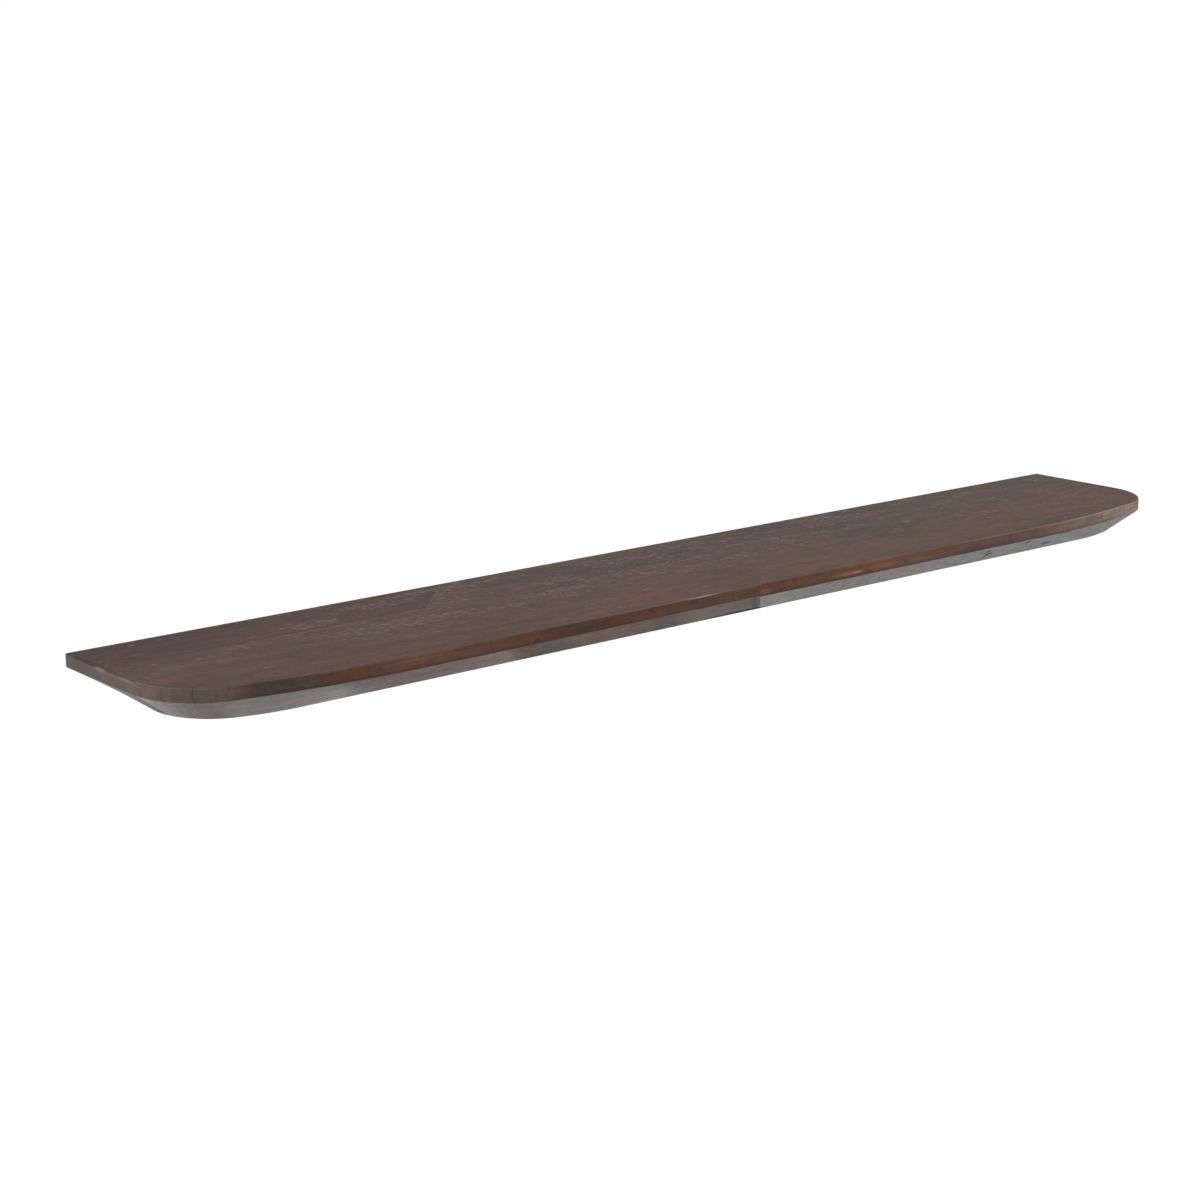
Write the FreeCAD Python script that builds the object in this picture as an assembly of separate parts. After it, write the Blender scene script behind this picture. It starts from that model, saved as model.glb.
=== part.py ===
import FreeCAD, Part
import math
import os

# Floating wall shelf. X runs along the shelf, the front faces -Y and +Z is up. The origin is on the
# wall, at the middle of the shelf's length and halfway up its thickness. Lengths are in millimetres.

# Board: a thick plank with swept front corners and a wide bevel under its front and its ends
shelf_length = 1600.0
shelf_depth = 250.0
shelf_thickness = 44.0
edge_height = 15.2          # upright edge left standing above the bevel
sweep_radius = 1125.0       # long curve that leads out of the straight front
sweep_angle = 11.2          # degrees of each corner that the long curve turns
corner_radius = 88.0        # shorter curve that leads on into the end
top_easing = 1.6            # rounding of the arris round the top
bevel_easing = 0.8          # rounding between the upright edge and the bevel

# Bevel: it runs in from the edge to the smaller underside, which has swept corners of its own
bevel_inset = 42.5          # how far the underside lies back from the edge along the front
end_bevel_inset = 36.5      # the same where a corner runs out into its end
end_bevel_skew = 5.4        # degrees by which an end's bevel widens from there to the wall
underside_sweep_radius = 265.0
underside_sweep_angle = 16.0
underside_corner_radius = 74.0

# Staves: the board is glued up from three rows of full-thickness lengths with slanting end joints.
# The shares of the length say where the joints meet the front of each row, from the left end.
rear_row_width = 86.0
centre_row_width = 62.0
rear_joint_shares = (0.2575, 0.74)
centre_joint_shares = (0.3125, 0.634)
front_joint_share = 0.4906
seam_slant = 45.0           # degrees that an end joint runs off square, seen from above
seam_step = 1.5             # the left front stave's bevel is planed this much deeper at its seam
planed_run = 355.0          # length over which that deeper planing fades in

# Concealed supports: a steel rod on a wall plate, let into the back of the board
support_count = 3
support_spacing = 560.0
plate_width = 72.0
plate_height = 30.0
plate_thickness = 4.0
plate_corner_radius = 5.0
rod_diameter = 12.0
rod_length = 120.0
rod_chamfer = 1.5
weld_leg = 2.5              # fillet weld round the foot of the rod, where it stands on the plate

# Screws and plugs that hold the plates to the wall, two to a plate
screw_spacing = 50.0
screw_length = 60.0
screw_diameter = 5.0
screw_head_diameter = 9.6
slot_travel = 4.0           # up and down play of a screw in its slot, for levelling
plug_diameter = 8.0
plug_length = 50.0
plug_setback = 2.5          # depth of a plug's mouth below the face of the wall
plug_split_width = 0.8
plug_split_length = 32.0

# Clearances
joint_clearance = 0.05      # between pieces that are fixed to each other
bore_clearance = 0.3        # all round a rod in its bore in the board
screw_clearance = 0.3       # all round a screw in its slot in the plate
pocket_clearance = 1.0      # round and in front of a plate in its pocket
bore_run_out = 5.0          # depth of the bore past the end of the rod
overrun = 3.0               # how far a cutting solid stands clear of what it cuts

top_z = shelf_thickness / 2
underside_z = -shelf_thickness / 2
bevel_z = top_z - edge_height
half_length = shelf_length / 2
screw_radius = screw_diameter / 2
head_radius = screw_head_diameter / 2
head_height = head_radius - screw_radius
rod_radius = rod_diameter / 2
rod_tip_y = -(plate_thickness + rod_length)


def vector(x, y, z):
    return FreeCAD.Vector(x, y, z)


def line(start, end):
    return Part.LineSegment(start, end).toShape()


def closed_wire(corners):
    return Part.makePolygon(corners + corners[:1])


def prism(corners, direction):
    return Part.Face(closed_wire(corners)).extrude(direction)


def outline(z, front_inset, end_inset, skew, long_radius, sweep, short_radius):
    """The plank's plan at one height, run on past the wall. Skewed ends draw together toward the wall."""
    turn = math.radians(sweep)
    last_turn = math.radians(90 + skew)
    front_y = front_inset - shelf_depth
    short_x = half_length - end_inset - short_radius
    long_x = short_x - (long_radius - short_radius) * math.sin(turn)
    long_y = front_y + long_radius
    short_y = long_y - (long_radius - short_radius) * math.cos(turn)
    end_x = short_x + short_radius * math.sin(last_turn)
    end_y = short_y - short_radius * math.cos(last_turn)
    back_x = end_x - (overrun - end_y) * math.tan(math.radians(skew))

    def arc(side, x, y, radius, start, end):
        points = [vector(side * (x + radius * math.sin(a)), y - radius * math.cos(a), z)
                  for a in (start, (start + end) / 2, end)]
        return Part.Arc(*points).toShape()

    def corner(side):
        long_curve = arc(side, long_x, long_y, long_radius, 0, turn)
        short_curve = arc(side, short_x, short_y, short_radius, turn, last_turn)
        end = line(vector(side * end_x, end_y, z), vector(side * back_x, overrun, z))
        return [long_curve, short_curve, end]

    front = line(vector(-long_x, front_y, z), vector(long_x, front_y, z))
    back = line(vector(-back_x, overrun, z), vector(back_x, overrun, z))
    edges = Part.__sortEdges__(corner(-1) + [front] + corner(1) + [back])
    return Part.Wire(edges)


def arris(board, z):
    """The edges that run round the board at one height, without the one beyond the wall."""
    return [edge for edge in board.Edges
            if all(abs(v.Z - z) < joint_clearance for v in edge.Vertexes)
            and not all(abs(v.Y - overrun) < joint_clearance for v in edge.Vertexes)]


def eased_board():
    """The whole plank before any hole is cut: its outline, its bevel and its two upper arrises eased."""
    underside = outline(underside_z, bevel_inset, end_bevel_inset, end_bevel_skew,
                        underside_sweep_radius, underside_sweep_angle, underside_corner_radius)
    upright = [outline(z, 0, 0, 0, sweep_radius, sweep_angle, corner_radius) for z in (bevel_z, top_z)]
    board = Part.makeLoft([underside] + upright, True, True)
    board = board.makeFillet(top_easing, arris(board, top_z))
    return board.makeFillet(bevel_easing, arris(board, bevel_z))


def turned(profile, x, z):
    """A solid turned about an axis along Y, from radius and Y pairs that start and end on the axis."""
    corners = [vector(radius, y, 0) for radius, y in profile]
    solid = Part.Face(closed_wire(corners)).revolve(vector(0, 0, 0), vector(0, 1, 0), 360)
    return solid.translated(vector(x, 0, z))


def rounded_block(width, height, radius, near_y, far_y):
    """A plate-like block upright on the wall, with its corners rounded in front view."""
    block = Part.makeBox(width, near_y - far_y, height, vector(-width / 2, far_y, -height / 2))
    upright = [edge for edge in block.Edges if abs(edge.Vertexes[0].Y - edge.Vertexes[1].Y) > joint_clearance]
    return block.makeFillet(radius, upright)


def support_places():
    return [(i - (support_count - 1) / 2) * support_spacing for i in range(support_count)]


def screw_places():
    return {"left": -screw_spacing / 2, "right": screw_spacing / 2}


def let_in(x):
    """What one support takes out of the board: its plate's pocket, its rod's bore, and room for the weld."""
    pocket_floor = -(plate_thickness + pocket_clearance)
    pocket = rounded_block(plate_width + 2 * pocket_clearance, plate_height + 2 * pocket_clearance,
                           plate_corner_radius + pocket_clearance, overrun, pocket_floor)
    radius = rod_radius + bore_clearance
    mouth = radius + weld_leg
    mouth_floor = pocket_floor - weld_leg
    bore_end = rod_tip_y - bore_run_out
    bore = turned([(0, overrun), (mouth, overrun), (mouth, mouth_floor), (radius, mouth_floor),
                   (radius, bore_end), (0, bore_end)], 0, 0)
    return pocket.fuse(bore).translated(vector(x, 0, 0))


def joint_x(share):
    return share * shelf_length - half_length


def planed_off():
    """The extra shaving off the left front stave's bevel, which deepens towards its seam."""
    seam_x = joint_x(front_joint_share)
    rise = seam_step / planed_run
    fall = (shelf_thickness - edge_height + seam_step) / bevel_inset
    start_x, end_x = seam_x - planed_run, seam_x + bevel_inset + overrun

    def corner(x, y):
        return vector(x, y, bevel_z + rise * (x - start_x) - fall * (y + shelf_depth))

    near_y, far_y = -shelf_depth - overrun, bevel_inset + overrun - shelf_depth
    face = [corner(start_x, near_y), corner(end_x, near_y), corner(end_x, far_y), corner(start_x, far_y)]
    return prism(face, vector(0, 0, -shelf_thickness))


def stave_block(far_y, near_y, left, right):
    """The straight piece of timber that one stave is cut from, with a slanting joint at each end."""
    slant = (near_y - far_y) * math.tan(math.radians(seam_slant))
    corners = [vector(left, far_y, 0), vector(right, far_y, 0),
               vector(right + slant, near_y, 0), vector(left + slant, near_y, 0)]
    block = prism(corners, vector(0, 0, shelf_thickness + 2 * overrun))
    return block.translated(vector(0, 0, underside_z - overrun))


def staves():
    board = eased_board()
    board = board.cut([let_in(x) for x in support_places()])
    beyond = half_length + shelf_depth
    rear_y = -rear_row_width
    centre_y = rear_y - centre_row_width
    front_y = -shelf_depth - overrun
    three, two = ("left", "middle", "right"), ("left", "right")
    rows = {
        "rear": (rear_y, 0, rear_joint_shares, three),
        "centre": (centre_y, rear_y, centre_joint_shares, three),
        "front": (front_y, centre_y, (front_joint_share,), two),
    }
    pieces = {}
    for row, (far_y, near_y, shares, names) in rows.items():
        stops = [-beyond] + [joint_x(share) for share in shares] + [beyond]
        for name, left, right in zip(names, stops, stops[1:]):
            pieces[f"{row}_stave_{name}"] = board.common(stave_block(far_y, near_y, left, right))
    pieces["front_stave_left"] = pieces["front_stave_left"].cut(planed_off())
    return pieces


def slot_tool():
    """A countersunk upright slot for one screw, as the solid that cuts it."""
    wide = head_radius + screw_clearance
    narrow = screw_radius + screw_clearance
    seat_y = wide - narrow - plate_thickness
    half = [(0, -plate_thickness - overrun), (wide, -plate_thickness - overrun), (wide, -plate_thickness),
            (narrow, seat_y), (narrow, overrun), (0, overrun)]
    middle = [vector(radius, y, 0) for radius, y in half[1:-1]]
    middle += [vector(-radius, y, 0) for radius, y in reversed(half[1:-1])]
    ends = [turned(half, 0, z) for z in (-slot_travel / 2, slot_travel / 2)]
    bar = prism(middle, vector(0, 0, slot_travel)).translated(vector(0, 0, -slot_travel / 2))
    return bar.fuse(ends)


def support_plate():
    plate = rounded_block(plate_width, plate_height, plate_corner_radius, 0, -plate_thickness)
    return plate.cut([slot_tool().translated(vector(x, 0, 0)) for x in screw_places().values()])


def support_rod():
    foot = -plate_thickness
    return turned([(0, foot), (rod_radius + weld_leg, foot), (rod_radius, foot - weld_leg),
                   (rod_radius, rod_tip_y + rod_chamfer),
                   (rod_radius - rod_chamfer, rod_tip_y), (0, rod_tip_y)], 0, 0)


def wall_screw():
    """A countersunk screw, its head flush with the face of the plate. Its thread and point are left plain."""
    head_y = -plate_thickness
    tip_y = head_y + screw_length
    return turned([(0, head_y), (head_radius, head_y), (screw_radius, head_y + head_height),
                   (screw_radius, tip_y), (0, tip_y)], 0, 0)


def wall_plug():
    """A plain sleeve for a drilled hole, split across its far end so that the screw can spread it."""
    outer = plug_diameter / 2
    inner = screw_radius + joint_clearance
    sleeve = Part.makeCylinder(outer, plug_length, vector(0, 0, 0), vector(0, 1, 0))
    bore = Part.makeCylinder(inner, plug_length + 2 * overrun, vector(0, -overrun, 0), vector(0, 1, 0))
    split = Part.makeBox(plug_diameter + 2 * overrun, plug_split_length + overrun, plug_split_width,
                         vector(-outer - overrun, plug_length - plug_split_length, -plug_split_width / 2))
    return sleeve.cut([bore, split]).translated(vector(0, plug_setback, 0))


def supports():
    """Each support's plate and rod, then the screws and plugs on each side of all the supports."""
    pieces = {}
    for i, x in enumerate(support_places(), 1):
        pieces[f"support_plate_{i}"] = support_plate().translated(vector(x, 0, 0))
        pieces[f"support_rod_{i}"] = support_rod().translated(vector(x, 0, 0))
    for side, along in screw_places().items():
        places = [vector(x + along, 0, 0) for x in support_places()]
        pieces[f"wall_screws_{side}"] = Part.makeCompound([wall_screw().translated(p) for p in places])
        pieces[f"wall_plugs_{side}"] = Part.makeCompound([wall_plug().translated(p) for p in places])
    return pieces


def one_solid(shape):
    """A boolean result as its bare solid, where it holds only one."""
    return shape.Solids[0] if len(shape.Solids) == 1 else shape


def export(pieces):
    os.makedirs("parts", exist_ok=True)
    for name, shape in pieces.items():
        shape = one_solid(shape)
        if not shape.isValid() or not shape.Solids:
            raise ValueError(f"{name} is not a sound solid")
        shape.exportStep(f"parts/{name}.step")
        print(name, len(shape.Solids), "solid(s),", round(shape.Volume), "mm3")


export({**staves(), **supports()})
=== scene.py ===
import bmesh
import bpy
import math
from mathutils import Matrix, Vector, noise
from types import SimpleNamespace


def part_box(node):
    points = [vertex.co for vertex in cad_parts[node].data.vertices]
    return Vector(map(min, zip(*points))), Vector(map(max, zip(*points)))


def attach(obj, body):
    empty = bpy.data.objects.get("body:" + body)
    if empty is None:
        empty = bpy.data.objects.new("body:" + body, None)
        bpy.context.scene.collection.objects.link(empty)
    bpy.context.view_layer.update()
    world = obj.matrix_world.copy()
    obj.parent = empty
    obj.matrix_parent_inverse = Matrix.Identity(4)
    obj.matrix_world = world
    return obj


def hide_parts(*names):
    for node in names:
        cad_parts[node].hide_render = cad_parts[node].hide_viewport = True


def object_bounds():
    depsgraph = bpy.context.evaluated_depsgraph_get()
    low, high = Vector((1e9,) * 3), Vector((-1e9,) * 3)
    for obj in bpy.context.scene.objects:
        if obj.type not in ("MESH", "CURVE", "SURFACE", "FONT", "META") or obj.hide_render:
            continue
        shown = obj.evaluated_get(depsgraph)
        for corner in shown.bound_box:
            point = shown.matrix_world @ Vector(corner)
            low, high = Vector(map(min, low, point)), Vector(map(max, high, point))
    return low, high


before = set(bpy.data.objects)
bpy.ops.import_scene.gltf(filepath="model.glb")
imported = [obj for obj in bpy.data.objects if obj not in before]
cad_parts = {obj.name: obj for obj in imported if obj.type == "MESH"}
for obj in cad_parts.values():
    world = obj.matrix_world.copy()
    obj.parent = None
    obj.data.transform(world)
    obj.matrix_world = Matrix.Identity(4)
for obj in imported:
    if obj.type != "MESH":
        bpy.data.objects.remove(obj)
cad_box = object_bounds()


# Studio: a plain pale floor a shelf's usual height below, soft even light, and a camera standing a
# little above the shelf and off its left front corner. The floor and the daylight show white where
# they are looked at or mirrored, and the floor still takes the shelf's shadow.
hanging_height = 1.6
floor_reach = 60.0
floor_white = (0.9, 0.9, 0.9, 1)
floor_lift = 0.16
white = (1, 1, 1, 1)
daylight = 0.82
key_strength = 0.62
key_softness = math.radians(75)
key_turn = (math.radians(38), 0, math.radians(-24))
camera_place = (-1.97093, -2.26497, 0.68629)
camera_dip = 0.23908
camera_turn = -0.70303
camera_lens = 72.2285
camera_reach = 4 * floor_reach


def put(tree, kind, wires=(), **settings):
    """Adds one node, with its inputs given as (socket, value or output) pairs."""
    node = tree.nodes.new(kind)
    for name, value in settings.items():
        setattr(node, name, value)
    for socket, value in wires:
        if isinstance(value, bpy.types.NodeSocket):
            tree.links.new(value, node.inputs[socket])
        else:
            node.inputs[socket].default_value = value
    return node


def maths(tree, operation, *values):
    return put(tree, "ShaderNodeMath", enumerate(values), operation=operation).outputs[0]


def times(tree, one, two):
    return maths(tree, "MULTIPLY", one, two)


def plus(tree, one, two):
    return maths(tree, "ADD", one, two)


def seen_or_mirrored(tree):
    """1 for rays straight from the camera or by way of a mirroring or clear surface."""
    path = put(tree, "ShaderNodeLightPath").outputs
    mirrored = maths(tree, "MAXIMUM", path["Is Glossy Ray"], path["Is Transmission Ray"])
    return maths(tree, "MAXIMUM", path["Is Camera Ray"], mirrored)


def blank_nodes(owner):
    owner.use_nodes = True
    owner.node_tree.nodes.clear()
    return owner.node_tree


def stand(name, data):
    """Puts a new object in the scene."""
    thing = bpy.data.objects.new(name, data)
    bpy.context.scene.collection.objects.link(thing)
    return thing


floor_z = cad_box[0].z - hanging_height
floor_corners = [(x * floor_reach, y * floor_reach, floor_z) for x, y in ((-1, -1), (1, -1), (1, 1), (-1, 1))]
sheet = bpy.data.meshes.new("floor")
sheet.from_pydata(floor_corners, [], [(0, 1, 2, 3)])
floor = stand("floor", sheet)
floor_paint = bpy.data.materials.new("pale_floor")
sheet.materials.append(floor_paint)
tree = blank_nodes(floor_paint)
matt = put(tree, "ShaderNodeBsdfDiffuse", [("Color", floor_white)])
lift = times(tree, seen_or_mirrored(tree), floor_lift)
glow = put(tree, "ShaderNodeEmission", [("Color", white), ("Strength", lift)])
both = put(tree, "ShaderNodeAddShader", [(0, matt.outputs[0]), (1, glow.outputs[0])])
put(tree, "ShaderNodeOutputMaterial", [("Surface", both.outputs[0])])

world = bpy.data.worlds.new("daylight")
tree = blank_nodes(world)
level = plus(tree, times(tree, seen_or_mirrored(tree), 1 - daylight), daylight)
sky = put(tree, "ShaderNodeBackground", [("Color", white), ("Strength", level)])
put(tree, "ShaderNodeOutputWorld", [("Surface", sky.outputs[0])])
bpy.context.scene.world = world
lamp = bpy.data.lights.new("soft_key", "SUN")
lamp.energy = key_strength
lamp.angle = key_softness
stand("soft_key", lamp).rotation_euler = key_turn

lens = bpy.data.cameras.new("photo_camera")
lens.lens = camera_lens
lens.clip_end = camera_reach
camera = stand("photo_camera", lens)
camera.location = camera_place
camera.rotation_euler = (math.pi / 2 - camera_dip, 0, camera_turn)
bpy.context.scene.camera = camera
bpy.context.scene.view_settings.view_transform = "Standard"


# Front staves: two full-thickness lengths of hardwood, glued end to end on a slant and to the row
# behind. They carry the swept corners, the upright edge and the bevel, sanded over the joint after
# gluing, stained dark brown and lacquered. The left one's bevel was planed a little deeper.
stave_names = ["front_stave_left", "front_stave_right", "centre_stave_left", "centre_stave_middle",
               "centre_stave_right", "rear_stave_left", "rear_stave_middle", "rear_stave_right"]
stave_boxes = [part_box(name) for name in stave_names]
plank_low = Vector([min(box[0][i] for box in stave_boxes) for i in range(3)])
plank_high = Vector([max(box[1][i] for box in stave_boxes) for i in range(3)])
edge_height = 0.0152
bevel_z = plank_high.z - edge_height

# Both outlines have insets at the front and at the ends and the ends' skew, then the long curve's radius
# and angle and the short curve's radius.
edge_insets = (0, 0, 0)
edge_curves = (1.125, math.radians(11.2), 0.088)
foot_insets = (0.0425, 0.0365, math.radians(5.4))
foot_curves = (0.265, math.radians(16), 0.074)
outline_steps = (34, 24, 54, 10)

# The top arris was rubbed by hand, so its rounding wavers, is thin in one stretch of the front, and is
# worn wide at the left end and the right corner.
top_easing = 0.0014
bevel_easing = 0.0006
foot_easing = 0.0015
easing_steps = 6
hand_easing = 0.0004
hand_waves = 9
hand_start = 2.7
thin_share = 1.2
thin_stretch = ((-0.42, -0.36), (0.03, 0.09))
end_wear = 0.0034
end_wear_places = ((0.79, 0.799), (-0.125, -0.08), (0.012, 0.04))
corner_wear = 0.0007
corner_wear_place = (0.30, 0.62)

seam_step = 0.0015
planed_run = 0.355
same_place = 0.004
cut_tolerance = 1e-7
crease = math.radians(28)


def straight(start, end, outward, count):
    return [(Vector(start).lerp(Vector(end), i / count), Vector(outward)) for i in range(1, count + 1)]


def bend(x, y, radius, start, end, count):
    turns = [start + (end - start) * i / count for i in range(1, count + 1)]
    ways = [Vector((math.sin(t), -math.cos(t))) for t in turns]
    return [(Vector((x, y)) + radius * way, way) for way in ways]


def half_outline(front_inset, end_inset, skew, long_radius, sweep, short_radius):
    """From the middle of the front to the wall at the right, as places and the ways they face."""
    front_y = plank_low.y + front_inset
    short_x = plank_high.x - end_inset - short_radius
    long_x = short_x - (long_radius - short_radius) * math.sin(sweep)
    long_y = front_y + long_radius
    short_y = long_y - (long_radius - short_radius) * math.cos(sweep)
    fore, long, short, rear = outline_steps
    half = straight((0, front_y), (long_x, front_y), (0, -1), fore)
    half += bend(long_x, long_y, long_radius, 0, sweep, long)
    half += bend(short_x, short_y, short_radius, sweep, math.pi / 2 + skew, short)
    end, outward = half[-1]
    back = end + Vector((-math.tan(skew), 1)) * (plank_high.y - end.y)
    return half + straight(end, back, outward, rear)


def whole_outline(*sizes):
    right = half_outline(*sizes)
    left = [(Vector((-place.x, place.y)), Vector((-way.x, way.y))) for place, way in reversed(right)]
    middle = (Vector((0, right[0][0].y)), Vector((0, -1)))
    return left + [middle] + right


def round_over(corner, before, after, radius):
    """Section points of one eased arris. Directions run from straight down, 0, to straight inward."""
    reach = radius * math.tan((after - before) / 2)
    x = corner[0] - reach * math.sin(before) + radius * math.cos(before)
    z = corner[1] + reach * math.cos(before) + radius * math.sin(before)
    turns = [before + (after - before) * i / easing_steps for i in range(easing_steps + 1)]
    return [(x - radius * math.cos(t), z - radius * math.sin(t)) for t in turns]


def between(value, low, high):
    """0 below one value, 1 above another, and a soft rise between them."""
    share = min(1, max(0, (value - low) / (high - low)))
    return share * share * (3 - 2 * share)


def arris_radius(place):
    """How round the top arris was left at one place of the outline."""
    chance = noise.noise(Vector((hand_waves * place.x, hand_waves * place.y, hand_start)))
    outmost, toward_wall, off_wall = end_wear_places
    end = between(-place.x, *outmost) * between(place.y, *toward_wall) * between(-place.y, *off_wall)
    thin = between(place.x, *thin_stretch[0]) * between(-place.x, *thin_stretch[1])
    corner = between(place.x, *corner_wear_place)
    return (top_easing + hand_easing * chance + end_wear * end + corner_wear * corner
            - thin_share * hand_easing * thin)


def planed_lift(x, seam_x):
    """How far the planing of the left front bevel raised its upper line at one place."""
    return seam_step * min(1, max(0, (x - seam_x + planed_run) / planed_run))


def plank_section(edge, outward, foot, lift):
    """The plank's edge from top to underside, at one place along the two outlines."""
    run = foot - edge
    inward = run.normalized()
    slope = math.atan2(run.length, bevel_z + lift - plank_low.z)
    top = round_over((0, plank_high.z), -math.pi / 2, 0, arris_radius(edge))
    bevel = round_over((0, bevel_z + lift), 0, slope, bevel_easing)
    bevel += round_over((run.length, plank_low.z), slope, math.pi / 2, foot_easing)
    return ([(*(edge - outward * inset), z) for inset, z in top]
            + [(*(edge + inward * inset), z) for inset, z in bevel])


def whole_plank(seam_x=None):
    """The plank before it is cut into staves."""
    bm = bmesh.new()
    columns = []
    edges = whole_outline(*edge_insets, *edge_curves)
    feet = whole_outline(*foot_insets, *foot_curves)
    for (edge, outward), (foot, _) in zip(edges, feet):
        lift = 0 if seam_x is None else planed_lift(edge.x, seam_x)
        columns.append([bm.verts.new(point) for point in plank_section(edge, outward, foot, lift)])
    for one, two in zip(columns, columns[1:]):
        for j in range(len(one) - 1):
            bm.faces.new((one[j], one[j + 1], two[j + 1], two[j]))
    bm.faces.new([column[0] for column in columns])
    bm.faces.new([column[-1] for column in reversed(columns)])
    bm.faces.new(columns[0] + list(reversed(columns[-1])))
    bmesh.ops.recalc_face_normals(bm, faces=bm.faces[:])
    return bm


def saw(bm, place, away):
    """Cuts off what lies past one plane and closes the cut."""
    bmesh.ops.bisect_plane(bm, geom=bm.verts[:] + bm.edges[:] + bm.faces[:], dist=cut_tolerance,
                           plane_co=place, plane_no=away, clear_outer=True)
    bmesh.ops.holes_fill(bm, edges=[edge for edge in bm.edges if edge.is_boundary])


def stave_blank(name, seam_x=None):
    """One stave, sawn out of the plank along its row and its slanting end joints."""
    low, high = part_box(name)
    bm = whole_plank(seam_x)
    if low.y > plank_low.y + same_place:
        saw(bm, low, (0, -1, 0))
    if high.y < plank_high.y - same_place:
        saw(bm, high, (0, 1, 0))
    if low.x > plank_low.x + same_place:
        saw(bm, low, (-1, 1, 0))
    if high.x < plank_high.x - same_place:
        saw(bm, high, (1, -1, 0))
    bmesh.ops.recalc_face_normals(bm, faces=bm.faces[:])
    return new_piece(name.replace("_stave", "") + "_timber", bm)


def new_piece(name, bm):
    mesh = bpy.data.meshes.new(name)
    bm.to_mesh(mesh)
    bm.free()
    return stand(name, mesh)


def settle(piece):
    """Turns what a piece's modifiers make of it into its plain mesh."""
    ready = piece.evaluated_get(bpy.context.evaluated_depsgraph_get())
    mesh = bpy.data.meshes.new_from_object(ready)
    piece.modifiers.clear()
    piece.data = mesh
    mesh.name = piece.name


def cut_away(piece, bm):
    """Takes a solid out of a piece."""
    cutter = new_piece("cutter", bm)
    cut = piece.modifiers.new("cut", "BOOLEAN")
    cut.object = cutter
    cut.solver = "EXACT"
    settle(piece)
    bpy.data.objects.remove(cutter)


def smooth_faces(piece):
    """Shades the eased arrises round and the broad faces flat."""
    mesh = piece.data
    mesh.polygons.foreach_set("use_smooth", [True] * len(mesh.polygons))
    mesh.set_sharp_from_angle(angle=crease)
    weigh = piece.modifiers.new("weigh", "WEIGHTED_NORMAL")
    weigh.keep_sharp = True
    settle(piece)


# Each has its place along the plank and down the bevel, its slant, length and width, and is cut as a
# six-sided wedge.
check_places = [(0.4267, 0.50, 18, 0.0175, 0.0034), (0.4268, 0.67, 72, 0.0090, 0.0024),
                (0.4160, 0.27, -57, 0.0100, 0.0022)]
check_depth = 0.0022
check_corners = ((1, 0), (0.3, 1), (-0.4, 0.8), (-1, 0), (-0.3, -1), (0.4, -0.7))
check_mouth = (1, 1)
check_bottom = (0.6, 0.12)


def on_bevel(x, share):
    """A place on the front bevel, so far down from its upper line to the underside."""
    return Vector((x, plank_low.y + share * foot_insets[0], bevel_z + share * (plank_low.z - bevel_z)))


def add_checks(piece):
    down = (on_bevel(0, 1) - on_bevel(0, 0)).normalized()
    inward = Vector((0, -down.z, down.y))
    for x, share, slant, length, width in check_places:
        turn = math.radians(slant)
        along = Vector((math.cos(turn), 0, 0)) + down * math.sin(turn)
        across = along.cross(inward)
        bm = bmesh.new()
        for depth, (reach, narrow) in ((-check_depth, check_mouth), (check_depth, check_bottom)):
            for end, side in check_corners:
                bm.verts.new(on_bevel(x, share) + along * (end * reach * length / 2) + inward * depth
                             + across * (side * narrow * width / 2))
        bmesh.ops.convex_hull(bm, input=bm.verts[:])
        cut_away(piece, bm)


# The timber: a brown dye stain under a satin lacquer, abraded most on the top. The grain runs along the
# stave, with rings about its heart, fibres and open pores. Pale dashes in the pores are painted glints.
umber = (0.056, 0.033, 0.024)
dark_brown = (0.040, 0.019, 0.012)
chestnut = (0.062, 0.0265, 0.0145)
red_brown = (0.078, 0.030, 0.0145)
warm_brown = (0.096, 0.041, 0.022)
walnut = (0.078, 0.040, 0.026)
hazel = (0.100, 0.056, 0.039)
dusty_brown = (0.108, 0.076, 0.060)
russet = (0.108, 0.050, 0.032)
tan_brown = (0.146, 0.084, 0.056)
# Painted light: pale tones for the right corner's curved edge, where the light falls.
corner_lit_sand = (0.192, 0.132, 0.094)
corner_lit_pale_oak = (0.222, 0.166, 0.132)
grey_brown = (0.064, 0.040, 0.031)
slate = (0.046, 0.038, 0.033)
# Painted sheen: light grey standing for the bevel's reflection near the left corner.
bevel_sheen_grey = (0.128, 0.104, 0.090)
olive_brown = (0.066, 0.048, 0.032)
paler_end_tone = (0.126, 0.098, 0.081)
# Painted highlight: a pale tone laid on the top arris where it catches the light, and on its glints.
worn_arris = (0.300, 0.270, 0.244)
orange_streak = (0.215, 0.085, 0.036)
amber_streak = (0.390, 0.160, 0.070)
split_dark = (0.010, 0.008, 0.007)
pore_glint_silver = (0.250, 0.210, 0.188)
pore_dark = (0.40, 0.37, 0.36)

# Each stave is cut from its own place in the log, and its fibres sway a little. A grain is so many
# features to the metre along the stave and across it, then the noise's detail and roughness.
log_drift = (1, 0.37, 0.11)
log_tilt = 0.6
log_turn = 0.9
sway_features = (1.7, 7, 7)
sway_reach = (0, 0.04, 0.04)
rings_to_metre = 210.0
fibre_grain = (20, 460, 3, 0.62)
streak_grain = (4.5, 95, 3, 0.6)
cloud_grain = (4.5, 15, 3, 0.5)
blush_grain = (26, 75, 2, 0.6)
blotch_grain = (60, 240, 3, 0.65)
patch_grain = (12, 40, 2)
pore_grain = (190, 1500, 1)
grit_grain = (460, 880, 1)
pore_levels = (0.60, 0.68)
patch_levels = (0.50, 0.62, 0.15)
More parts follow.
